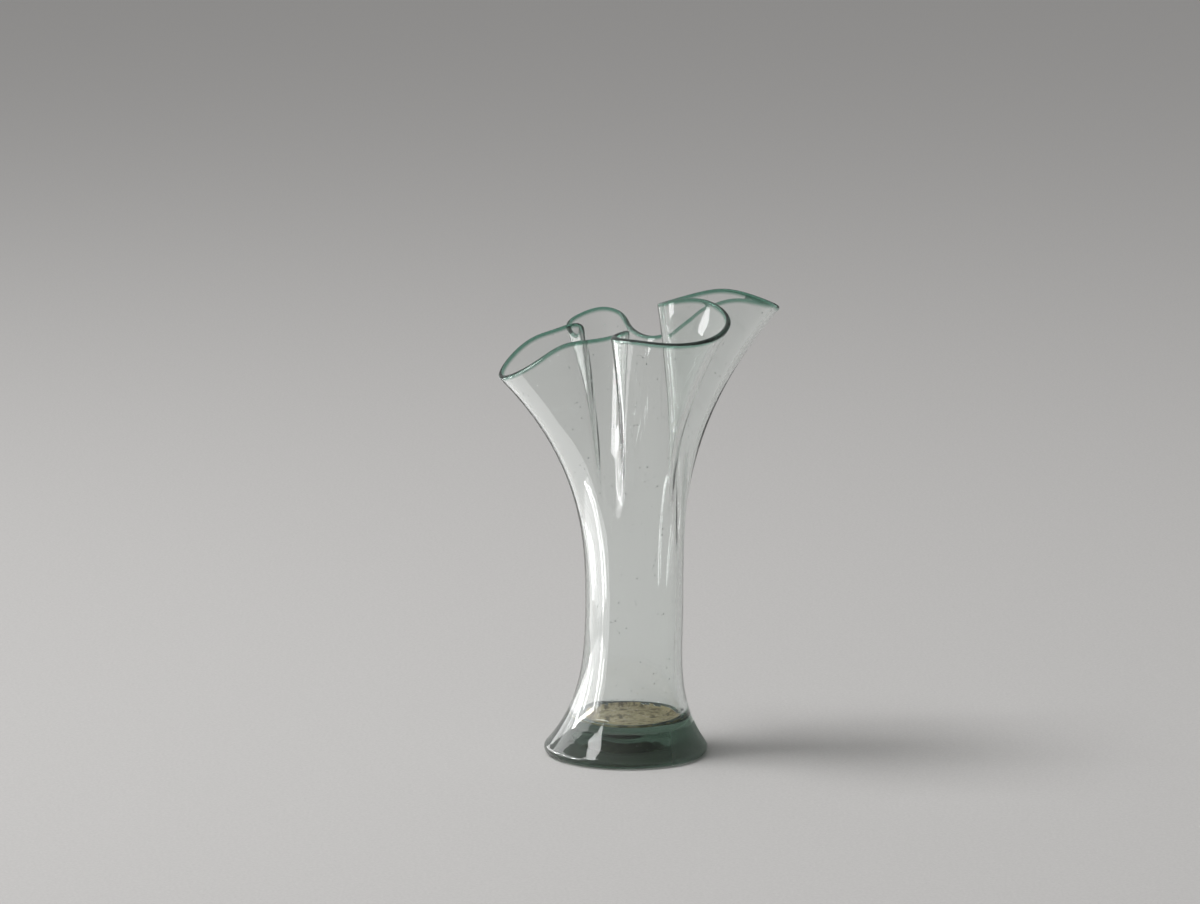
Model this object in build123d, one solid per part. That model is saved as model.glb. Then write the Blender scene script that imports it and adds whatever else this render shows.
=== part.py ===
"""Hand-blown glass vase: a slender waist, a thick flared foot and a mouth pinched into four folds.

Three pieces of glass are fused hot: the blown body with its closed rounded bottom, the foot
gathered round that bottom, and the small wad that the holding rod leaves under the foot.

Millimetres, +Z up. The origin is the centre of the face that the foot rests on, and the mouth's
front fold points to -Y. Bearings are in degrees from +X, turning towards +Y.
"""
import os
from math import cos, pi, radians, sin

from build123d import *

# Foot
FOOT_RADIUS = 32.0         # of the flare, at the height of its rounded edge
FOOT_EDGE = 2.2            # round of the lower edge
KICK_RADIUS = 15.0         # shallow hollow under the foot
KICK_DEPTH = 2.6
WAD_RADIUS = 7.5           # glass left by the rod in that hollow
WAD_CLEARANCE = 0.8        # from the wad down to the table

# Waist, where the wall is narrowest
WAIST_RADIUS = 18.8
WAIST_HEIGHT = 58.0
WAIST_SHIFT = 3.4          # the waist stands this far to +X of the foot's centre

# How fast the wall leaves the waist, as powers of the way down or up
FOOT_POWER = 3.6
LEAN_POWER = 1.6
MOUTH_POWER = 2.6

# Seat of the body in the foot
SEAT_HEIGHT = 12.2         # crease where the foot's glass ends on the wall
SEAT_LEDGE = 0.8           # flat ring outside the rounded bottom
BUBBLE_DEPTH = 4.5         # rounded bottom of the body, below the crease

# Wall
FLOOR_RISE = 0.6           # inside floor above the crease
FLOOR_HEIGHT = SEAT_HEIGHT + FLOOR_RISE
FLOOR_CORNER = 3.0         # round between the inside floor and the wall
LIP_WALL = 2.0
WAIST_WALL = 2.6
STEM_WALL = 3.2            # at the crease

# The lip: places from the waist's axis (x, y), and the rise above or below the mouth's height
MOUTH_HEIGHT = 164.0
RIGHT_LOBE = [(24, -1.5, 13), (40, 1, 13), (54, 6, 7), (54.5, 12.5, 5.5), (41, 18, 8), (23, 18, 1.5)]
BACK_RIGHT_VALLEY = [(8, 19, -6.5)]
BACK_LOBE = [(-0.5, 28, -4), (-4, 37, -0.5), (-11, 41.5, 1), (-20.5, 39, -1), (-26, 31.5, -4.5)]
BACK_LEFT_VALLEY = [(-21.5, 21.5, -6), (-22, 16, -1.5)]
LEFT_LOBE = [(-29, 12.5, -2.5), (-40, 9, -6.5), (-51, -4, -18.5), (-38, -15, -12), (-26, -16.5, -4.5)]
FRONT_LEFT_VALLEY = [(-10, -13.5, -2), (-4, -18, 1)]
FRONT_LOBE = [
    (-9, -28, 0.5), (-1.5, -37.5, 0), (13, -41, -1), (30, -36, 1), (35.5, -26, 6), (25, -14, 12.5)
]
FRONT_RIGHT_VALLEY = [(13, -9.5, 11), (10.5, -4, 9.5)]
FOLDS = (
    RIGHT_LOBE + BACK_RIGHT_VALLEY + BACK_LOBE + BACK_LEFT_VALLEY
    + LEFT_LOBE + FRONT_LEFT_VALLEY + FRONT_LOBE + FRONT_RIGHT_VALLEY
)

# Bearing on the waist below the lip's first point, and how unevenly the lip spreads round it
FIRST_BEARING = -17.0
BEARING_SWING = 9.0
SWING_PHASE = 0.2          # share of the lip's length

# Sections of the wall's surface
SPLITS = 8                 # stops from one point of the lip to the next
FOOT_RINGS = 5
STEM_RINGS = 6
MOUTH_RINGS = 12
LIP_TURNS = 6              # steps over the round lip
CORNER_TURNS = 4           # steps round the floor's corner
NUDGE = 0.002              # share of the way, for slopes

LIP_POINTS = [Vector(x, y, MOUTH_HEIGHT + rise) for x, y, rise in FOLDS]
LIP_CURVE = Edge.make_spline(LIP_POINTS, periodic=True)


def lip_stops():
    """Stops round the lip as shares of its length, closer together where its points are."""
    loop = LIP_POINTS + LIP_POINTS[:1]
    chords = [(b - a).length for a, b in zip(loop, loop[1:])]
    stops = []
    passed = 0.0
    for chord in chords:
        stops += [(passed + chord * part / SPLITS) / sum(chords) for part in range(SPLITS)]
        passed += chord
    return stops


STOPS = lip_stops()


def round_waist(share):
    """Direction from the waist's axis to the point of the waist below a share of the lip."""
    swing = BEARING_SWING * (1 - cos(2 * pi * (share - SWING_PHASE)))
    bearing = radians(FIRST_BEARING + 360 * share + swing)
    return Vector(cos(bearing), sin(bearing), 0)


def axis(level):
    """Axis of the wall: upright above the waist and leaning back to the foot's centre below it."""
    down = max(-level, 0.0)
    return WAIST_SHIFT * (1 - down ** LEAN_POWER)


def stem_radius(level):
    """Radius of the outer wall from the waist (0) down to the foot's rounded edge (-1)."""
    return WAIST_RADIUS + (FOOT_RADIUS - WAIST_RADIUS) * (-level) ** FOOT_POWER


def stem_level(height):
    """Level of a height below the waist."""
    return (height - WAIST_HEIGHT) / (WAIST_HEIGHT - FOOT_EDGE)


def stem_height(level):
    """Height of a level below the waist."""
    return WAIST_HEIGHT + level * (WAIST_HEIGHT - FOOT_EDGE)


def outer(share, level):
    """Outer wall: level -1 is the foot's rounded edge, 0 the waist and 1 the lip."""
    way = round_waist(share)
    if level < 0:
        place = way * stem_radius(level)
        height = stem_height(level)
    else:
        waist = way * WAIST_RADIUS
        lip = LIP_CURVE.position_at(share % 1.0)
        place = waist + (Vector(lip.X, lip.Y, 0) - waist) * level ** MOUTH_POWER
        height = WAIST_HEIGHT + level * (lip.Z - WAIST_HEIGHT)
    return Vector(place.X + axis(level), place.Y, height)


def slopes(share, level):
    """Unit vectors of the outer wall: out of the glass, and up the wall."""
    along = outer(share + NUDGE, level) - outer(share - NUDGE, level)
    up = outer(share, level + NUDGE) - outer(share, level - NUDGE)
    out = along.cross(up).normalized()
    return out, out.cross(along).normalized()


def wall_at(level):
    """Thickness of the wall at a level."""
    if level > 0:
        return WAIST_WALL + (LIP_WALL - WAIST_WALL) * level
    return WAIST_WALL + (STEM_WALL - WAIST_WALL) * level / stem_level(SEAT_HEIGHT)


def inner(share, level):
    """Inner wall, the wall's thickness inside the outer one."""
    out, _ = slopes(share, level)
    return outer(share, level) - out * wall_at(level)


def over_lip(share, turn):
    """Round of the lip: turn 0 is its outer side, and 1 its inner side."""
    out, up = slopes(share, 1.0)
    half = wall_at(1.0) / 2
    centre = outer(share, 1.0) - out * half
    return centre + (out * cos(pi * turn) + up * sin(pi * turn)) * half


def ring(place):
    """Closed section of the wall, through the place that belongs to each stop."""
    places = [place(stop) for stop in STOPS]
    return Wire(Edge.make_spline(places, periodic=True, parameters=STOPS + [1.0]))


def spread(first, last, count):
    """Evenly spread values from first to last, both included."""
    return [first + (last - first) * step / count for step in range(count + 1)]


def floor_place(turn):
    """Places round the inside corner: turn 0 is on the wall, and 1 on the floor."""
    level = stem_level(FLOOR_HEIGHT + FLOOR_CORNER)
    reach = stem_radius(level) - wall_at(level)
    radius = reach - FLOOR_CORNER * (1 - cos(pi / 2 * turn))
    height = FLOOR_HEIGHT + FLOOR_CORNER * (1 - sin(pi / 2 * turn))
    return lambda share: round_waist(share) * radius + Vector(axis(level), 0, height)


def skin(sections):
    """Faces of one smooth surface through the sections."""
    return Shell.make_loft(sections).faces()


def dome(radius, depth, base, rise):
    """Cap of a sphere on a level circle, standing up (rise 1) or hanging down (rise -1)."""
    centre, edge, tip = (0, base), (radius, base), (0, base + rise * depth)
    with BuildPart() as cap:
        with BuildSketch(Plane.XZ):
            with BuildLine():
                Line(centre, edge)
                ThreePointArc(edge, dome_middle(radius, depth, base, rise), tip)
                Line(tip, centre)
            make_face()
        revolve(axis=Axis.Z)
    return cap.part


def dome_middle(radius, depth, base, rise):
    """A point half way out on the cap's profile."""
    sphere = (radius ** 2 + depth ** 2) / (2 * depth)
    drop = sphere - (sphere ** 2 - (radius / 2) ** 2) ** 0.5
    return radius / 2, base + rise * (depth - drop)


def make_bubble():
    """Rounded bottom of the body, below the crease, which the foot is gathered round."""
    level = stem_level(SEAT_HEIGHT)
    cap = dome(stem_radius(level) - SEAT_LEDGE, BUBBLE_DEPTH, SEAT_HEIGHT, -1)
    return Pos(axis(level), 0, 0) * cap


def make_body():
    """Blown body: skins up the outside, over the lip and down the inside, closed at both ends."""
    crease = stem_level(SEAT_HEIGHT)
    corner = stem_level(FLOOR_HEIGHT + FLOOR_CORNER)
    up = spread(crease, 0.0, STEM_RINGS) + spread(0.0, 1.0, MOUTH_RINGS)[1:]
    down = spread(1.0, 0.0, MOUTH_RINGS) + spread(0.0, corner, STEM_RINGS)[1:]
    outside = [ring(lambda share, at=level: outer(share, at)) for level in up]
    lip = [ring(lambda share, at=turn: over_lip(share, at)) for turn in spread(0, 1, LIP_TURNS)]
    inside = [ring(lambda share, at=level: inner(share, at)) for level in down[:-1]]
    floor = [ring(floor_place(turn)) for turn in spread(0, 1, CORNER_TURNS)]
    faces = skin(outside) + skin(lip) + skin(inside + floor[:1]) + skin(floor)
    faces += [Face(outside[0]), Face(floor[-1])]
    return Solid(Shell(faces)) + make_bubble()


def make_kick():
    """Shallow hollow under the foot."""
    return dome(KICK_RADIUS, KICK_DEPTH, 0, 1)


def stem_circle(level):
    """Round section of the outer wall below the waist."""
    return Wire.make_circle(stem_radius(level), Plane((axis(level), 0, stem_height(level))))


def make_foot():
    """Foot: a flare with a round lower edge, hollowed for the body above and by the kick below."""
    flare = spread(stem_level(0.0), stem_level(SEAT_HEIGHT), FOOT_RINGS)
    blank = Solid.make_loft([stem_circle(level) for level in flare])
    blank = fillet(blank.edges().group_by(Axis.Z)[0], FOOT_EDGE)
    return blank - make_bubble() - make_kick()


def make_wad():
    """Wad of glass: a drop that hangs from the ceiling of the kick."""
    return dome(WAD_RADIUS, KICK_DEPTH - WAD_CLEARANCE, KICK_DEPTH, -1) & make_kick()


PIECES = {
    "blown_body": make_body,
    "foot": make_foot,
    "pontil_wad": make_wad,
}

os.makedirs("parts", exist_ok=True)
for name, make in PIECES.items():
    export_step(make(), f"parts/{name}.step")
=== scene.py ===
"""Hand-blown vase of pale green glass on a plain floor.

Every glass piece starts as a flat grid of steps (round the glass) and stations (along its profile).
Each vertex of the grid is then moved to its place on the glass, and the grid's ends are merged. A step
round the glass is a share of the lip's length.
"""
from math import cos, pi, radians, sin, tau

import bmesh
import bpy
import numpy as np
from bpy.props import FloatProperty, FloatVectorProperty, IntProperty, PointerProperty
from mathutils import Matrix, Vector, noise


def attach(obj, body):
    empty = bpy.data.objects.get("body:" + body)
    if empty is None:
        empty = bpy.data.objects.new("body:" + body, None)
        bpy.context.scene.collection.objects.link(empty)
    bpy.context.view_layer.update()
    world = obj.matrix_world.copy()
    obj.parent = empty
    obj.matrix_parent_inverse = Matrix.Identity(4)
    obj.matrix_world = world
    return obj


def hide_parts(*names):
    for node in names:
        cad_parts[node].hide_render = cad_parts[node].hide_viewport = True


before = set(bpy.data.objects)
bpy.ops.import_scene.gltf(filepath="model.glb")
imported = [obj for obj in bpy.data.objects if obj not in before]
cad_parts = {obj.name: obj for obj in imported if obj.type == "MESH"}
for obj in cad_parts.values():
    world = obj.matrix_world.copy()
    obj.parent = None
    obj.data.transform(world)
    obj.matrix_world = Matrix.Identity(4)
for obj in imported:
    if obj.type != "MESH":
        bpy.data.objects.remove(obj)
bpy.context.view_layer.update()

bl_info = {
    "name": "Ruffled Glass Vase",
    "version": (1, 0, 0),
    "blender": (4, 5, 0),
    "location": "3D View > Sidebar > Vase",
    "description": "Builds a hand-blown vase of pale green glass with a folded mouth, and its studio",
    "category": "Add Mesh",
}

MM = 0.001

# The lip in millimetres: places from the waist's axis (x, y), and the rise from the mouth's height
RIGHT_LOBE = [(24, -1.5, 13), (40, 1, 13), (54, 6, 7), (54.5, 12.5, 5.5), (41, 18, 8), (23, 18, 1.5)]
BACK_RIGHT_VALLEY = [(8, 19, -6.5)]
BACK_LOBE = [(-0.5, 28, -4), (-4, 37, -0.5), (-11, 41.5, 1), (-20.5, 39, -1), (-26, 31.5, -4.5)]
BACK_LEFT_VALLEY = [(-21.5, 21.5, -6), (-22, 16, -1.5)]
LEFT_LOBE = [(-29, 12.5, -2.5), (-40, 9, -6.5), (-51, -4, -18.5), (-38, -15, -12), (-26, -16.5, -4.5)]
FRONT_LEFT_VALLEY = [(-10, -13.5, -2), (-4, -18, 1)]
FRONT_LOBE = [
    (-9, -28, 0.5), (-1.5, -37.5, 0), (13, -41, -1), (30, -36, 1), (35.5, -26, 6), (25, -14, 12.5)
]
FRONT_RIGHT_VALLEY = [(13, -9.5, 11), (10.5, -4, 9.5)]
FOLDS = (
    RIGHT_LOBE + BACK_RIGHT_VALLEY + BACK_LOBE + BACK_LEFT_VALLEY
    + LEFT_LOBE + FRONT_LEFT_VALLEY + FRONT_LOBE + FRONT_RIGHT_VALLEY
)

# Bearing on the waist below the lip's first point, in degrees, and how unevenly the lip spreads round it
FIRST_BEARING = -17.0
BEARING_SWING = 9.0
SWING_PHASE = 0.2          # share of the lip's length

# How fast the wall leaves the waist, as powers of the way down or up
FOOT_POWER = 3.6
LEAN_POWER = 1.6
MOUTH_POWER = 2.6

NUDGE = 0.002              # share of the way, for slopes
SEAM_GAP = 0.02 * MM       # between the faces of two fused pieces
SMOOTH_ANGLE = radians(40)
FILM_GRAIN = 350.0         # patches of the film's ragged rim, per metre
FILM_RIM = (0.0, 0.2, 0.55, 0.85, 0.9, 0.9, 0.9)  # share of film on the corner's rings, wall to floor


def length(label, words, value):
    """Property for a length, given in millimetres."""
    return FloatProperty(name=label, description=words, default=value * MM, min=0.0, unit="LENGTH", precision=5)


def colour(label, words, value):
    """Property for a colour."""
    return FloatVectorProperty(
        name=label, description=words, default=value, size=3, min=0.0, max=1.0, subtype="COLOR"
    )


class VaseSizes(bpy.types.PropertyGroup):
    """Sizes of the glass."""

    foot_radius: length("Foot radius", "Radius of the foot at the height of its rounded edge", 32.0)
    foot_edge: length("Foot edge", "Round of the foot's lower edge", 2.2)
    kick_radius: length("Kick radius", "Radius of the hollow under the foot", 15.0)
    kick_depth: length("Kick depth", "Depth of the hollow under the foot", 2.6)
    wad_radius: length("Wad radius", "Radius of the drop of glass in that hollow", 7.5)
    wad_clearance: length("Wad clearance", "From the drop of glass down to the table", 0.8)
    waist_radius: length("Waist radius", "Outer radius where the wall is narrowest", 18.8)
    waist_height: length("Waist height", "Height of the narrowest place", 58.0)
    waist_shift: length("Waist shift", "How far the waist stands to the right of the foot's centre", 3.4)
    seat_height: length("Seat height", "Height of the crease between body and foot", 12.2)
    seat_ledge: length("Seat ledge", "Flat ring outside the body's rounded bottom", 0.8)
    bubble_depth: length("Bubble depth", "Depth of the body's rounded bottom below the crease", 4.5)
    floor_rise: length("Floor rise", "Height of the inside floor above the crease", 0.6)
    floor_corner: length("Floor corner", "Round between the inside floor and the wall", 3.0)
    lip_wall: length("Lip wall", "Thickness of the wall at the lip", 2.0)
    waist_wall: length("Waist wall", "Thickness of the wall at the waist", 2.6)
    stem_wall: length("Stem wall", "Thickness of the wall at the crease", 3.2)
    mouth_height: length("Mouth height", "Height from which the folds rise and fall", 164.0)
    waviness: length("Waviness", "Depth of the uneven places in the hand-blown wall", 0.12)
    steps: IntProperty(name="Steps", description="Steps round the glass", default=480, min=64, max=720)


class VaseGlass(bpy.types.PropertyGroup):
    """Colours and finish of the glass."""

    body_tint: colour("Body tint", "Light that the clear wall keeps", (0.20, 0.56, 0.40))
    body_depth: FloatProperty(
        name="Body depth", description="How strongly the clear wall takes light, per metre", default=14.0, min=0.0
    )
    foot_tint: colour("Foot tint", "Light that the thick foot keeps", (0.20, 0.38, 0.28))
    foot_depth: FloatProperty(
        name="Foot depth", description="How strongly the foot takes light, per metre", default=62.0, min=0.0
    )
    # The lip tint is the bead's real green glass, made darker still as painted shade.
    lip: colour("Lip", "Tint of the thick bead of glass along the lip", (0.13, 0.33, 0.25))
    wear: colour("Wear", "Scuffed glass of the ring that the foot rests on", (0.86, 0.88, 0.86))
    film: colour("Film", "Dried film on the inside floor", (0.50, 0.43, 0.26))
    crust: colour("Crust", "Darker crust in that film", (0.17, 0.14, 0.08))
    crumbs: colour("Crumbs", "Pale grains on that film", (0.74, 0.68, 0.54))
    ior: FloatProperty(name="Refraction", description="Index of refraction of the glass", default=1.5, min=1.0)


class VaseStage(bpy.types.PropertyGroup):
    """Floor, light and camera."""

    floor: colour("Floor", "Pale paper under the vase", (0.57, 0.56, 0.55))
    sky: FloatProperty(name="Sky", description="Strength of the even light on the left", default=0.74, min=0.0)
    shade: FloatProperty(name="Shade", description="Strength of the even light on the right", default=0.12, min=0.0)
    window: FloatProperty(
        name="Window", description="Power of the soft light on the left", default=25.0, min=0.0, unit="POWER"
    )
    pane: FloatProperty(
        name="Pane", description="Brightness of the panes that the glass mirrors", default=20.0, min=0.0
    )
    wall: FloatProperty(
        name="Wall", description="Brightness of the lit wall that the glass mirrors", default=3.0, min=0.0
    )
    glow: FloatProperty(
        name="Glow", description="Brightness of the near pane that the folds mirror", default=10.0, min=0.0
    )
    height: FloatProperty(
        name="View height", description="Angle of the view above the table", default=radians(10), subtype="ANGLE"
    )
    distance: FloatProperty(
        name="View distance", description="From the camera to the vase", default=1.8, min=0.1, unit="LENGTH"
    )


class Wall:
    """The glass wall's surface, from its sizes."""

    def __init__(self, sizes):
        self.sizes = sizes
        self.shares = np.arange(sizes.steps) / sizes.steps
        self.points = np.array(FOLDS, float) * MM + np.array((0, 0, sizes.mouth_height))
        ahead = np.roll(self.points, -1, axis=0)
        chords = np.linalg.norm(ahead - self.points, axis=1)
        self.knots = np.concatenate([[0.0], np.cumsum(chords)]) / chords.sum()
        self.runs = self.lip_runs(ahead)
        self.floor = sizes.seat_height + sizes.floor_rise
        self.crease = self.stem_level(sizes.seat_height)
        self.corner = self.stem_level(self.floor + sizes.floor_corner)

    def lip_runs(self, ahead):
        """Slopes that make the closed curve through the lip's points smooth."""
        step = np.diff(self.knots)
        before = np.roll(step, 1)
        climb = (ahead - self.points) / step[:, None]
        count = len(self.points)
        system = np.zeros((count, count))
        for i in range(count):
            system[i, i - 1] = step[i]
            system[i, i] = 2 * (before[i] + step[i])
            system[i, (i + 1) % count] = before[i]
        pull = 3 * (step[:, None] * np.roll(climb, 1, axis=0) + before[:, None] * climb)
        return np.linalg.solve(system, pull)

    def lip(self, shares):
        """Places on the lip."""
        shares = shares % 1.0
        leg = np.clip(np.searchsorted(self.knots, shares, side="right") - 1, 0, len(self.points) - 1)
        ahead = (leg + 1) % len(self.points)
        step = (self.knots[leg + 1] - self.knots[leg])[:, None]
        way = (shares - self.knots[leg])[:, None] / step
        rest = 1 - way
        return (
            self.points[leg] * (1 + 2 * way) * rest ** 2
            + self.points[ahead] * (1 + 2 * rest) * way ** 2
            + step * way * rest * (self.runs[leg] * rest - self.runs[ahead] * way)
        )

    def stem_level(self, height):
        """Level of a height below the waist."""
        return (height - self.sizes.waist_height) / (self.sizes.waist_height - self.sizes.foot_edge)

    def stem_radius(self, level):
        """Radius of the outer wall from the waist (0) down to the foot's rounded edge (-1)."""
        s = self.sizes
        return s.waist_radius + (s.foot_radius - s.waist_radius) * (-level) ** FOOT_POWER

    def axis(self, level):
        """Axis of the wall: upright above the waist and leaning back to the foot's centre below it."""
        return self.sizes.waist_shift * (1 - np.maximum(-level, 0.0) ** LEAN_POWER)

    def ways(self, shares):
        """Directions from the waist's axis below shares of the lip."""
        swing = BEARING_SWING * (1 - np.cos(tau * (shares - SWING_PHASE)))
        bearing = np.radians(FIRST_BEARING + 360 * shares + swing)
        return np.stack([np.cos(bearing), np.sin(bearing), np.zeros_like(bearing)], axis=-1)

    def outer(self, shares, level):
        """Outer wall: level -1 is the foot's rounded edge, 0 the waist and 1 the lip."""
        s = self.sizes
        level = np.broadcast_to(np.asarray(level, float), shares.shape)
        way = self.ways(shares)
        down = np.minimum(level, 0.0)
        up = np.maximum(level, 0.0)[:, None]
        place = way * self.stem_radius(down)[:, None]
        lip = self.lip(shares)
        place[:, :2] += (lip - way * s.waist_radius)[:, :2] * up ** MOUTH_POWER
        place[:, 0] += self.axis(level)
        place[:, 2] = s.waist_height + down * (s.waist_height - s.foot_edge)
        place[:, 2] += up[:, 0] * (lip[:, 2] - s.waist_height)
        return place

    def slopes(self, shares, level):
        """Unit vectors of the outer wall: out of the glass, and up the wall."""
        along = self.outer(shares + NUDGE, level) - self.outer(shares - NUDGE, level)
        up = self.outer(shares, level + NUDGE) - self.outer(shares, level - NUDGE)
        out = np.cross(along, up)
        out /= np.linalg.norm(out, axis=1)[:, None]
        rise = np.cross(out, along)
        return out, rise / np.linalg.norm(rise, axis=1)[:, None]

    def thickness(self, level):
        """Thickness of the wall at a level."""
        s = self.sizes
        if level > 0:
            return s.waist_wall + (s.lip_wall - s.waist_wall) * level
        return s.waist_wall + (s.stem_wall - s.waist_wall) * level / self.crease

    def ripple(self, places, seed):
        """Uneven depth of the hand-blown wall, drawn out upwards, from 0 to the waviness."""
        stretched = places * np.array((45.0, 45.0, 9.0)) + seed
        depth = np.array([noise.noise(Vector(p)) for p in stretched])
        return np.clip(0.5 + 0.5 * depth, 0, 1)[:, None] * self.sizes.waviness

    def outer_row(self, level):
        """One ring of the outer wall, a little uneven away from its ends."""
        places = self.outer(self.shares, level)
        out, _ = self.slopes(self.shares, level)
        ease = min((level - self.crease) * 4, (1 - level) * 4, 1.0)
        return places - out * self.ripple(places, 3.0) * max(ease, 0.0)

    def inner_row(self, level):
        """One ring of the inner wall."""
        places = self.outer(self.shares, level)
        out, _ = self.slopes(self.shares, level)
        ease = min((level - self.corner) * 4, (1 - level) * 4, 1.0)
        return places - out * (self.thickness(level) + self.ripple(places, 11.0) * max(ease, 0.0))

    def lip_row(self, turn):
        """One ring over the round lip: turn 0 is its outer side, and 1 its inner side."""
        out, up = self.slopes(self.shares, 1.0)
        half = self.thickness(1.0) / 2
        centre = self.outer(self.shares, 1.0) - out * half
        return centre + (out * cos(pi * turn) + up * sin(pi * turn)) * half

    def circle(self, level, radius, height):
        """One round ring about the wall's axis at a level."""
        place = self.ways(self.shares) * radius
        place[:, 0] += self.axis(level)
        place[:, 2] = height
        return place

    def middle_circle(self, radius, height):
        """One round ring about the foot's centre."""
        place = self.ways(self.shares) * radius
        place[:, 2] = height
        return place

    def corner_row(self, turn):
        """One ring of the inside corner: turn 0 is on the wall, and 1 on the floor."""
        s = self.sizes
        reach = self.stem_radius(self.corner) - self.thickness(self.corner)
        radius = reach - s.floor_corner * (1 - cos(pi / 2 * turn))
        return self.circle(self.corner, radius, self.floor + s.floor_corner * (1 - sin(pi / 2 * turn)))

    def bubble_row(self, part, drop=0.0):
        """One ring of the body's rounded bottom: part 0 is its middle, and 1 its edge."""
        s = self.sizes
        radius = self.stem_radius(self.crease) - s.seat_ledge
        height = s.seat_height - dome_height(radius, s.bubble_depth, part) - drop
        return self.circle(self.crease, radius * part, height)

    def kick_row(self, part, drop=0.0):
        """One ring of the hollow under the foot: part 0 is its middle, and 1 its edge."""
        s = self.sizes
        height = dome_height(s.kick_radius, s.kick_depth, part)
        return self.middle_circle(s.kick_radius * part, height - drop)

    def wad_height(self, radius):
        """Height of the underside of the drop of glass in the hollow."""
        s = self.sizes
        depth = s.kick_depth - s.wad_clearance
        return s.kick_depth - dome_height(s.wad_radius, depth, radius / s.wad_radius)

    def wad_reach(self):
        """Radius at which that drop meets the ceiling of the hollow."""
        s = self.sizes
        near, far = 0.0, s.wad_radius
        for _ in range(40):
            half = (near + far) / 2
            below = self.wad_height(half) < dome_height(s.kick_radius, s.kick_depth, half / s.kick_radius)
            near, far = (half, far) if below else (near, half)
        return near

    def edge_row(self, turn):
        """One ring of the foot's rounded edge: turn 0 is on the flare, and 1 on the flat ring below."""
        s = self.sizes
        level = np.full_like(self.shares, -1.0)
        for _ in range(8):
            out, _up = self.slopes(self.shares, level)
            level = self.stem_level(s.foot_edge * (1 + out[:, 2]))
        out, _up = self.slopes(self.shares, level)
        centre = self.outer(self.shares, level) - out * s.foot_edge
        flat = out * np.array((1, 1, 0))
        flat /= np.linalg.norm(flat, axis=1)[:, None]
        tilt = np.arcsin(out[:, 2])
        tilt = (tilt + (-pi / 2 - tilt) * turn)[:, None]
        return centre + (flat * np.cos(tilt) + np.array((0, 0, 1)) * np.sin(tilt)) * s.foot_edge

    def edge_level(self):
        """Lowest level of the flare that the rounded edge leaves."""
        return self.stem_level(self.edge_row(0.0)[:, 2])


def dome_height(radius, depth, part):
    """Height of a cap of a sphere above its base, a part of the way from its middle to its edge."""
    sphere = (radius ** 2 + depth ** 2) / (2 * depth)
    return depth - sphere + (sphere ** 2 - (radius * part) ** 2) ** 0.5


def spread(first, last, count):
    """Evenly spread values from first to last, both included."""
    return [first + (last - first) * step / count for step in range(count + 1)]


def shape_grid(rows, marks):
    """Rolls a grid into a closed piece with one row of places for each station, marked by station."""
    steps, last = len(rows[0]), len(rows) - 1
    bm = bmesh.new()
    spacing = Matrix.Diagonal((steps / 2, last / 2, 1, 1))
    corner = Matrix.Translation((steps / 2, last / 2, 0))
    bmesh.ops.create_grid(bm, x_segments=steps, y_segments=last, size=1, matrix=corner @ spacing)
    seam = bm.faces.layers.float.new("seam")
    edge_mark = bm.verts.layers.float.new("edge")
    stations = [int(face.calc_center_median().y) for face in bm.faces]
    for vert in bm.verts:
        station = round(vert.co.y)
        vert[edge_mark] = marks["edge"][station]
        vert.co = rows[station][round(vert.co.x) % steps]
    for face, station in zip(bm.faces, stations):
        face.smooth = True
        face[seam] = marks["seam"][station]
        ragged = noise.noise(face.calc_center_median() * FILM_GRAIN)
        face.material_index = int(ragged < 2 * marks["film"][station] - 1)
    bmesh.ops.remove_doubles(bm, verts=bm.verts, dist=0.001 * MM)
    bmesh.ops.recalc_face_normals(bm, faces=bm.faces)
    for edge in bm.edges:
        edge.smooth = edge.calc_face_angle(0.0) < SMOOTH_ANGLE
    return bm


def marks_of(rows, **spans):
    """Marks by station: each span gives the first and last stations of a mark, and its value between them."""
    marks = {name: [0.0] * len(rows) for name in ("seam", "edge", "film")}
    for name, (first, last, value) in spans.items():
        for station in range(first, last):
            marks[name][station] = value
    return marks


def add_piece(name, bm, *materials):
    """Makes the mesh a piece of the vase, in the place of the CAD node of the same name."""
    mesh = bpy.data.meshes.new(name + "_glass")
    bm.to_mesh(mesh)
    bm.free()
    piece = bpy.data.objects.new(name + "_glass", mesh)
    bpy.context.scene.collection.objects.link(piece)
    for material in materials:
        mesh.materials.append(material)
    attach(piece, "root")
    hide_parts(name)
    return piece


def node(tree, kind, place, **values):
    """New shader node with its settings and plain socket values."""
    made = tree.nodes.new(kind)
    made.location = place
    for key, value in values.items():
        if key in made.inputs:
            made.inputs[key].default_value = value
        else:
            setattr(made, key, value)
    return made


def spread_range(tree, place, source, values):
    """Spreads a source's values: from low to high become the other two values."""
    made = node(tree, "ShaderNodeMapRange", place, interpolation_type="SMOOTHSTEP")
    names = ("From Min", "From Max", "To Min", "To Max")
    for name, value in zip(names, values):
        made.inputs[name].default_value = value
    tree.links.new(source, made.inputs["Value"])
    return made.outputs["Result"]


def joined(tree, place, operation, first, second):
    """Result of a sum on two sources."""
    made = node(tree, "ShaderNodeMath", place, operation=operation)
    tree.links.new(first, made.inputs[0])
    tree.links.new(second, made.inputs[1])
    return made.outputs[0]


def marked(tree, place, name):
    """Values of a mark on the mesh."""
    return node(tree, "ShaderNodeAttribute", place, attribute_name=name).outputs["Fac"]


def noise_on(tree, place, vector, scale, detail):
    """Noise on a vector."""
    made = node(tree, "ShaderNodeTexNoise", place, Scale=scale, Detail=detail, Roughness=0.6)
    tree.links.new(vector, made.inputs["Vector"])
    return made.outputs["Fac"]


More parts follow.
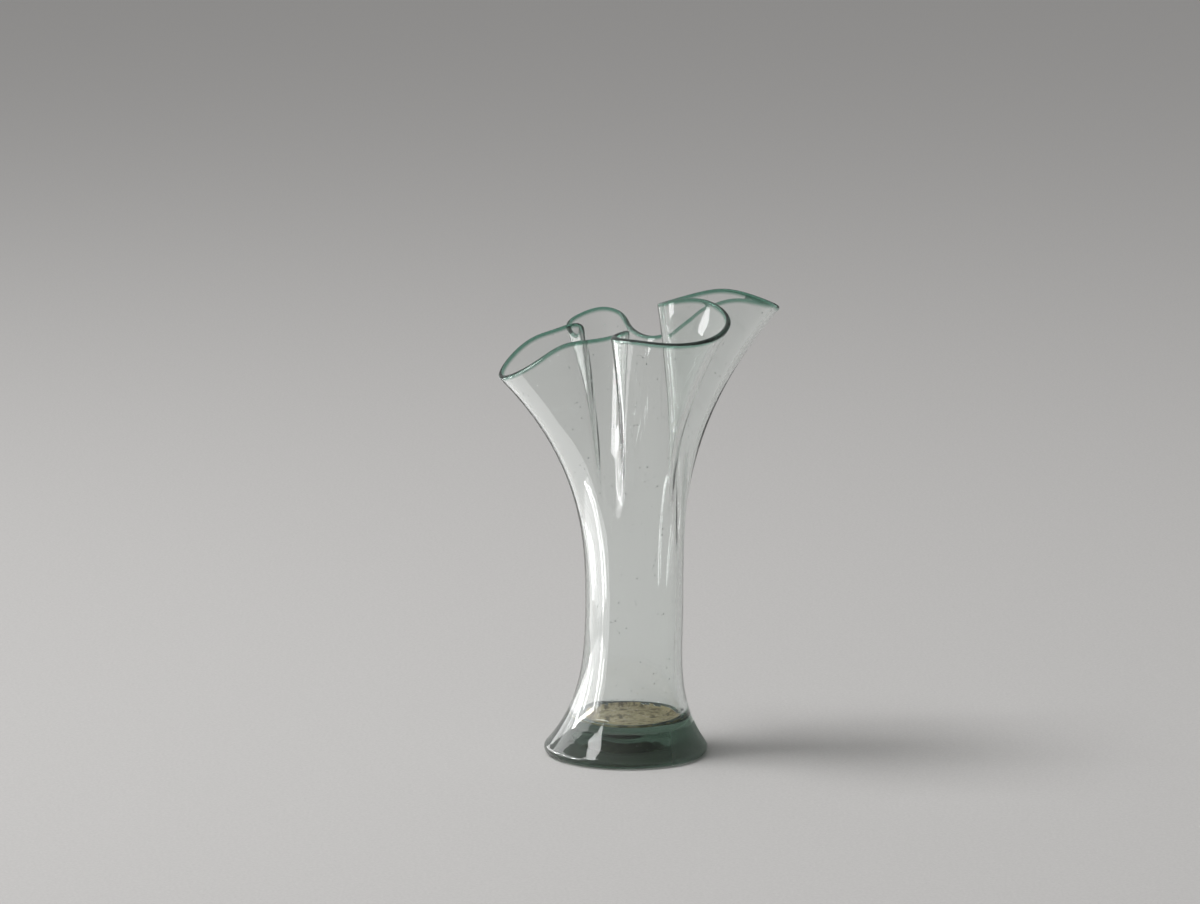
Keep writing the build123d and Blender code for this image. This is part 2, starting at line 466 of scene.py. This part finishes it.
def blended(tree, place, share, first, second):
    """Colour from first to second by a share. The first is a colour or a source."""
    made = node(tree, "ShaderNodeMix", place, data_type="RGBA")
    tree.links.new(share, made.inputs[0])
    if isinstance(first, bpy.types.NodeSocket):
        tree.links.new(first, made.inputs[6])
    else:
        made.inputs[6].default_value = (*first, 1.0)
    made.inputs[7].default_value = (*second, 1.0)
    return made.outputs[2]


def new_material(name):
    """Material with a bare surface shader, its output and the piece's own coordinates."""
    material = bpy.data.materials.new(name)
    material.use_nodes = True
    tree = material.node_tree
    tree.nodes.clear()
    out = node(tree, "ShaderNodeOutputMaterial", (900, 0))
    shader = node(tree, "ShaderNodeBsdfPrincipled", (560, 0))
    tree.links.new(shader.outputs["BSDF"], out.inputs["Surface"])
    place = node(tree, "ShaderNodeTexCoord", (-1200, 0)).outputs["Object"]
    return material, shader, out, place


def glass_material(name, tint, depth, edge, relief, look):
    """Glass that takes light by its depth, with smudges, blisters, an uneven skin and a tinted edge; on the body
    that edge tint is the lip bead's real green, darkened further as painted shade, and on the foot it is the scuffed
    ring's wear.
    """
    material, glass, out, place = new_material(name)
    tree = material.node_tree
    link = tree.links.new
    glass.inputs["Transmission Weight"].default_value = 1.0
    glass.inputs["Sheen Weight"].default_value = 0.12
    glass.inputs["Sheen Roughness"].default_value = 0.6
    glass.inputs["Sheen Tint"].default_value = (1.0, 0.98, 0.95, 1.0)
    inside = node(tree, "ShaderNodeVolumeAbsorption", (560, -420), Color=(*tint, 1.0), Density=depth)
    link(inside.outputs["Volume"], out.inputs["Volume"])

    at_edge = marked(tree, (-700, 460), "edge")
    # Base colour at the marked edge: on the body the lip bead's green, darkened further as painted shade; on the
    # foot the scuffed ring's wear.
    link(blended(tree, (-100, 240), at_edge, (0.985, 0.995, 0.99), edge["tint"]), glass.inputs["Base Color"])

    smudge = spread_range(tree, (-700, 0), noise_on(tree, (-900, 0), place, 38.0, 4.0), (0.45, 0.8, 0.012, 0.07))
    scuff = spread_range(tree, (-500, 240), at_edge, (0.0, 1.0, 0.0, edge["rough"]))
    across = node(tree, "ShaderNodeSeparateXYZ", (-900, -760))
    link(place, across.inputs["Vector"])
    frost = spread_range(tree, (-500, -120), across.outputs["X"], (*relief["side"][:2], 0.0, relief["frost"]))
    haze = joined(tree, (-300, 100), "ADD", smudge, frost)
    link(joined(tree, (-100, 0), "ADD", haze, scuff), glass.inputs["Roughness"])

    stretch = node(tree, "ShaderNodeMapping", (-900, -520))
    stretch.inputs["Scale"].default_value = relief["scale"]
    link(place, stretch.inputs["Vector"])
    skin = noise_on(tree, (-700, -520), stretch.outputs["Vector"], 1.0, relief["detail"])
    side = spread_range(tree, (-700, -760), across.outputs["X"], relief["side"])
    seeds = node(tree, "ShaderNodeTexVoronoi", (-700, -1000), Scale=relief["seeds"])
    link(place, seeds.inputs["Vector"])
    blisters = spread_range(tree, (-500, -1000), seeds.outputs["Distance"], (0.02, 0.1, relief["rise"], 0.0))
    away = spread_range(tree, (-500, -1240), at_edge, (0.0, 0.5, 1.0, 0.0))
    blisters = joined(tree, (-300, -1000), "MULTIPLY", blisters, away)
    skin = joined(tree, (-300, -700), "MULTIPLY", skin, side)
    bump = node(tree, "ShaderNodeBump", (-100, -520), Distance=0.1 * MM)
    link(joined(tree, (-200, -860), "ADD", skin, blisters), bump.inputs["Height"])
    link(bump.outputs["Normal"], glass.inputs["Normal"])

    bend = spread_range(tree, (-100, -240), marked(tree, (-300, -240), "seam"), (0.0, 1.0, look.ior, 1.0))
    link(bend, glass.inputs["IOR"])
    return material


def film_material(look):
    """Dry film on the inside floor: tan, with a darker crust and pale grains."""
    material, film, _, place = new_material("dried_film")
    tree = material.node_tree
    crust = spread_range(tree, (-600, 200), noise_on(tree, (-900, 200), place, 330.0, 5.0), (0.46, 0.66, 0.0, 1.0))
    grains = spread_range(tree, (-600, -100), noise_on(tree, (-900, -100), place, 900.0, 2.0), (0.6, 0.72, 0.0, 1.0))
    colour_of = blended(tree, (-200, 200), crust, look.film, look.crust)
    tree.links.new(blended(tree, (0, 100), grains, colour_of, look.crumbs), film.inputs["Base Color"])
    film.inputs["Roughness"].default_value = 0.8
    bump = node(tree, "ShaderNodeBump", (0, -300), Strength=0.6, Distance=0.4 * MM)
    tree.links.new(joined(tree, (-200, -300), "ADD", crust, grains), bump.inputs["Height"])
    tree.links.new(bump.outputs["Normal"], film.inputs["Normal"])
    return material


class VASE_OT_blown_body(bpy.types.Operator):
    """Blow the body: rounded bottom, stem, waist and the mouth with its folds"""

    bl_idname = "vase.blown_body"
    bl_label = "Blown Body"

    def execute(self, context):
        sizes, look = context.scene.vase_sizes, context.scene.vase_glass
        wall = Wall(sizes)
        rows = [wall.bubble_row(part) for part in spread(0.0, 1.0, 8)]
        seams = len(rows)
        rows += [wall.outer_row(level) for level in spread(wall.crease, 0.0, 20)]
        rows += [wall.outer_row(level) for level in spread(0.0, 1.0, 44)[1:]]
        rows.insert(-1, wall.outer_row(0.99))
        lip = len(rows) - 1
        rows += [wall.lip_row(turn) for turn in spread(0.0, 1.0, 9)[1:-1]]
        down = len(rows)
        rows += [wall.inner_row(level) for level in spread(1.0, 0.0, 44)]
        rows.insert(down + 1, wall.inner_row(0.99))
        rows += [wall.inner_row(level) for level in spread(0.0, wall.corner, 20)[1:-1]]
        corner = len(rows)
        rows += [wall.corner_row(turn) for turn in spread(0.0, 1.0, 6)]
        floor = len(rows)
        radius = wall.stem_radius(wall.corner) - wall.thickness(wall.corner) - sizes.floor_corner
        rows += [wall.circle(wall.corner, radius * part, wall.floor) for part in spread(1.0, 0.0, 20)[1:]]
        marks = marks_of(rows, seam=(0, seams, 1.0), edge=(lip, down + 1, 1.0), film=(floor, len(rows), 0.9))
        marks["film"][corner:floor] = FILM_RIM
        bm = shape_grid(rows, marks)
        # Lip bead tint: the glass's real green, darkened further as painted shade.
        bead_with_painted_shade = {"tint": look.lip, "rough": 0.0}
        cords = {
            "scale": (170, 170, 12), "detail": 3.0, "side": (-1.0, 1.0, 0.2, 0.2), "frost": 0.0,
            "seeds": 280.0, "rise": 1.6,
        }
        glass = glass_material("clear_blown_glass", look.body_tint, look.body_depth, bead_with_painted_shade, cords, look)
        piece = add_piece("blown_body", bm, glass, film_material(look))
        return {"FINISHED"}


class VASE_OT_foot(bpy.types.Operator):
    """Gather the foot: seat for the body, flare, rounded edge, resting ring and hollow"""

    bl_idname = "vase.foot"
    bl_label = "Foot"

    def execute(self, context):
        sizes, look = context.scene.vase_sizes, context.scene.vase_glass
        wall = Wall(sizes)
        rows = [wall.bubble_row(part, SEAM_GAP) for part in spread(0.0, 1.0, 8)]
        seams = len(rows)
        top = wall.stem_level(sizes.seat_height - SEAM_GAP)
        low = wall.edge_level()
        rows += [wall.outer(wall.shares, top + (low - top) * part) for part in spread(0.0, 1.0, 16)]
        rows += [wall.edge_row(turn) for turn in spread(0.0, 1.0, 12)[1:]]
        ring = rows[-1]
        hollow = wall.kick_row(1.0)
        polished = len(rows)
        rows += [ring + (hollow - ring) * part for part in spread(0.0, 1.0, 6)[1:]]
        scuffed = len(rows)
        under = wall.wad_reach() / sizes.kick_radius
        rows += [wall.kick_row(part) for part in spread(1.0, under, 6)[1:]]
        joint = len(rows) - 1
        rows += [wall.kick_row(part) for part in spread(under, 0.0, 6)[1:]]
        marks = marks_of(rows, seam=(0, seams, 1.0), edge=(polished, scuffed, 1.0))
        marks["seam"][joint:] = [1.0] * (len(rows) - joint)
        bm = shape_grid(rows, marks)
        scuffs = {"tint": look.wear, "rough": 0.45}
        chill = {
            "scale": (520, 520, 520), "detail": 1.0, "side": (0.0, 0.03, 0.3, 5.0), "frost": 0.4,
            "seeds": 330.0, "rise": 3.0,
        }
        glass = glass_material("deep_foot_glass", look.foot_tint, look.foot_depth, scuffs, chill, look)
        piece = add_piece("foot", bm, glass)
        return {"FINISHED"}


class VASE_OT_pontil_wad(bpy.types.Operator):
    """Leave the drop of glass in the hollow under the foot"""

    bl_idname = "vase.pontil_wad"
    bl_label = "Pontil Wad"

    def execute(self, context):
        sizes, look = context.scene.vase_sizes, context.scene.vase_glass
        wall = Wall(sizes)
        reach = wall.wad_reach()
        rows = [
            wall.kick_row(reach / sizes.kick_radius * part, SEAM_GAP) for part in spread(0.0, 1.0, 8)
        ]
        joint = len(rows) - 1
        rows += [wall.middle_circle(reach * part, wall.wad_height(reach * part)) for part in spread(1.0, 0.0, 8)[1:]]
        bm = shape_grid(rows, marks_of(rows, seam=(0, joint, 1.0)))
        piece = add_piece("pontil_wad", bm, bpy.data.materials["deep_foot_glass"])
        return {"FINISHED"}


class VASE_OT_stage(bpy.types.Operator):
    """Set the floor, the light and the camera"""

    bl_idname = "vase.stage"
    bl_label = "Studio"

    FLOOR_RADIUS = 9.0
    FLOOR_DROP = 0.0002
    LENS = 142.1
    AIM = Vector((-0.00969, 0.0, 0.11659))

    def execute(self, context):
        scene, look = context.scene, context.scene.vase_stage
        self.add_floor(scene, look)
        self.add_light(scene, look)
        self.add_camera(scene, look)
        scene.view_settings.view_transform = "Standard"
        return {"FINISHED"}

    def add_floor(self, scene, look):
        """Wide disc of pale paper with a fine grain."""
        bm = bmesh.new()
        bmesh.ops.create_circle(bm, cap_ends=True, radius=self.FLOOR_RADIUS, segments=96)
        bmesh.ops.translate(bm, verts=bm.verts, vec=(0, 0, -self.FLOOR_DROP))
        mesh = bpy.data.meshes.new("paper_floor")
        bm.to_mesh(mesh)
        bm.free()
        floor = bpy.data.objects.new("paper_floor", mesh)
        scene.collection.objects.link(floor)
        material = bpy.data.materials.new("pale_paper")
        material.use_nodes = True
        tree = material.node_tree
        paper = tree.nodes["Principled BSDF"]
        paper.inputs["Roughness"].default_value = 0.9
        paper.inputs["Specular IOR Level"].default_value = 0.0
        place = node(tree, "ShaderNodeTexCoord", (-900, 0))
        grain = node(tree, "ShaderNodeTexNoise", (-700, 0), Scale=900.0, Detail=3.0)
        shade = node(tree, "ShaderNodeMapRange", (-500, 0))
        shade.inputs["To Min"].default_value = 0.9
        shade.inputs["To Max"].default_value = 1.1
        mix = node(tree, "ShaderNodeVectorMath", (-300, 0), operation="SCALE")
        mix.inputs[0].default_value = look.floor
        tree.links.new(place.outputs["Object"], grain.inputs["Vector"])
        tree.links.new(grain.outputs["Fac"], shade.inputs["Value"])
        tree.links.new(shade.outputs["Result"], mix.inputs["Scale"])
        tree.links.new(mix.outputs["Vector"], paper.inputs["Base Color"])
        mesh.materials.append(material)

    def add_light(self, scene, look):
        """Soft window on the left, its panes and the lit wall that the glass mirrors, and an uneven sky."""
        self.add_panel(scene, "window", (-1.0, -0.1, 1.8), (0.8, 0.8), look.window)
        mirrored = (
            ("front_pane", (-0.235, -0.06, 0.055), (0.014, 0.09), look.pane, True),
            ("back_pane", (-0.235, 0.09, 0.055), (0.014, 0.09), look.pane, True),
            ("top_pane", (-0.235, 0.015, 0.094), (0.136, 0.012), look.pane, False),
            ("lit_wall", (-0.24, 0.12, 0.055), (0.46, 0.09), look.wall, False),
            ("near_wall", (-0.12, 0.0, 0.05), (0.16, 0.05), look.wall, False),
            ("fold_pane", (-0.12, -0.078, 0.143), (0.066, 0.085), look.glow, False),
        )
        for name, place, size, brightness, through in mirrored:
            panel = self.add_panel(scene, name, place, size, brightness * pi * size[0] * size[1])
            panel.rotation_euler = (pi / 2, 0, -pi / 2)
            panel.visible_diffuse = False
            panel.visible_glossy = True
            panel.visible_transmission = through
        world = bpy.data.worlds.new("studio")
        world.use_nodes = True
        tree = world.node_tree
        sky = tree.nodes["Background"]
        sky.inputs["Color"].default_value = (1.0, 1.0, 1.0, 1.0)
        way = node(tree, "ShaderNodeTexCoord", (-700, 0))
        across = node(tree, "ShaderNodeSeparateXYZ", (-500, 0))
        tree.links.new(way.outputs["Generated"], across.inputs["Vector"])
        strength = spread_range(tree, (-300, 0), across.outputs["X"], (-0.9, 0.9, look.sky, look.shade))
        tree.links.new(strength, sky.inputs["Strength"])
        scene.world = world

    def add_panel(self, scene, name, place, size, power):
        """Panel of light that faces the vase and isn't mirrored in it."""
        lamp = bpy.data.lights.new(name, "AREA")
        lamp.shape = "RECTANGLE"
        lamp.size, lamp.size_y = size
        lamp.energy = power
        panel = bpy.data.objects.new(name, lamp)
        panel.location = place
        panel.rotation_euler = (self.AIM - panel.location).to_track_quat("-Z", "Y").to_euler()
        panel.visible_camera = False
        panel.visible_glossy = False
        scene.collection.objects.link(panel)
        return panel

    def add_camera(self, scene, look):
        """Camera in front of the vase, a little above the lip."""
        view = bpy.data.cameras.new("camera")
        view.lens = self.LENS
        view.sensor_width = 36.0
        view.sensor_fit = "HORIZONTAL"
        camera = bpy.data.objects.new("camera", view)
        back = Vector((0, -cos(look.height), sin(look.height)))
        camera.location = self.AIM + back * look.distance
        camera.rotation_euler = (pi / 2 - look.height, 0, 0)
        scene.collection.objects.link(camera)
        scene.camera = camera


class VASE_PT_vase(bpy.types.Panel):
    """Lists the vase's sizes, glass and stage, and the steps that build it"""

    bl_idname = "VASE_PT_vase"
    bl_label = "Ruffled Glass Vase"
    bl_space_type = "VIEW_3D"
    bl_region_type = "UI"
    bl_category = "Vase"

    def draw(self, context):
        for group in (context.scene.vase_sizes, context.scene.vase_glass, context.scene.vase_stage):
            box = self.layout.box()
            for name in group.__annotations__:
                box.prop(group, name)
        for operator in OPERATORS:
            self.layout.operator(operator.bl_idname)


GROUPS = {"vase_sizes": VaseSizes, "vase_glass": VaseGlass, "vase_stage": VaseStage}
OPERATORS = (VASE_OT_blown_body, VASE_OT_foot, VASE_OT_pontil_wad, VASE_OT_stage)


def register():
    for cls in (*GROUPS.values(), *OPERATORS, VASE_PT_vase):
        bpy.utils.register_class(cls)
    for name, group in GROUPS.items():
        setattr(bpy.types.Scene, name, PointerProperty(type=group))


def unregister():
    for name in GROUPS:
        delattr(bpy.types.Scene, name)
    for cls in (VASE_PT_vase, *reversed(OPERATORS), *reversed(GROUPS.values())):
        bpy.utils.unregister_class(cls)


def main():
    register()
    bpy.ops.vase.blown_body()
    bpy.ops.vase.foot()
    bpy.ops.vase.pontil_wad()
    bpy.ops.vase.stage()


if __name__ == "__main__":
    main()
